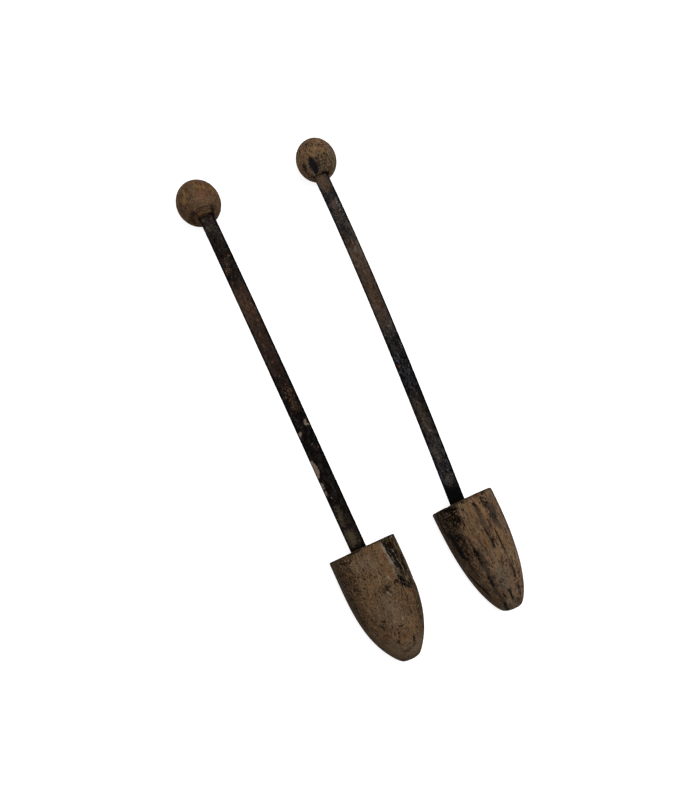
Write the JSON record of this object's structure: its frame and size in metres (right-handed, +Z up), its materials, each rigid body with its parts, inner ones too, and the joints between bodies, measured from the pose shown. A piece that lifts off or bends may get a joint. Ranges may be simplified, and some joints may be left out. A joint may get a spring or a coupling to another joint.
{
  "type": "pair of shoe trees",
  "caption": "Pair of old shoe trees. Each has a tapered wooden toe block and a turned wooden heel knob, joined by a long bent strip of spring steel.",
  "frame": {"origin": "middle of the floor under the pair's box, both trees lying on their soles", "axes": "+Z up, +Y from the toe blocks to the heel knobs, +X from the left tree to the right tree, seen from above with the toes towards the viewer"},
  "size_m": [0.1142, 0.3314, 0.0325],
  "materials": {
    "left_block_wood": "old bare wood, dark and worn, dull",
    "left_knob_wood": "turned wood, old polish worn off, dull sheen",
    "left_nail_steel": "dull rusty steel",
    "left_strip_steel": "dark brown-black patina with rust specks",
    "right_block_wood": "old bare wood, dark and worn, dull",
    "right_knob_wood": "turned wood, old polish worn off, dull sheen",
    "right_nail_steel": "dull rusty steel",
    "right_strip_steel": "dark brown-black patina with a rust stain"
  },
  "bodies": {
    "left_toe": {"left_toe_block": "left_block_wood", "left_toe_nail_front": "left_nail_steel", "left_toe_nail_rear": "left_nail_steel"},
    "left_strip": {"left_spring_strip": "left_strip_steel"},
    "left_knob": {"left_heel_knob": "left_knob_wood", "left_knob_pin": "left_nail_steel"},
    "right_toe": {"right_toe_block": "right_block_wood", "right_toe_nail_front": "right_nail_steel", "right_toe_nail_rear": "right_nail_steel"},
    "right_strip": {"right_spring_strip": "right_strip_steel"},
    "right_knob": {"right_heel_knob": "right_knob_wood", "right_knob_pin": "right_nail_steel"}
  },
  "joints": [
    {"name": "left_front_bend", "type": "hinge", "parent": "left_toe", "child": "left_strip", "pos_m": [-0.038, -0.03875, 0.02298], "axis": [1, 0.0073, 0], "range_deg": [0, 28], "stiffness_Nm_per_rad": 5.8, "deforming": ["left_spring_strip"]},
    {"name": "left_rear_bend", "type": "hinge", "parent": "left_strip", "child": "left_knob", "pos_m": [-0.03885, 0.0772, 0.03081], "axis": [1, 0.0073, 0], "range_deg": [0, 28], "stiffness_Nm_per_rad": 5.8, "deforming": ["left_spring_strip"]},
    {"name": "right_front_bend", "type": "hinge", "parent": "right_toe", "child": "right_strip", "pos_m": [0.03124, -0.03923, 0.02196], "axis": [0.9984, -0.0558, 0], "range_deg": [0, 28], "stiffness_Nm_per_rad": 5.8, "deforming": ["right_spring_strip"]},
    {"name": "right_rear_bend", "type": "hinge", "parent": "right_strip", "child": "right_knob", "pos_m": [0.03767, 0.07574, 0.02526], "axis": [0.9984, -0.0558, 0], "range_deg": [0, 28], "stiffness_Nm_per_rad": 5.8, "deforming": ["right_spring_strip"]},
    {"name": "right_tree_lift", "type": "slide", "parent": "left_toe", "child": "right_toe", "axis": [0, 0, 1], "range_m": [0, 0.08]}
  ],
  "couplings": [
    {"joint": "left_rear_bend", "follows": "left_front_bend", "ratio": 1},
    {"joint": "right_rear_bend", "follows": "right_front_bend", "ratio": 1}
  ]
}
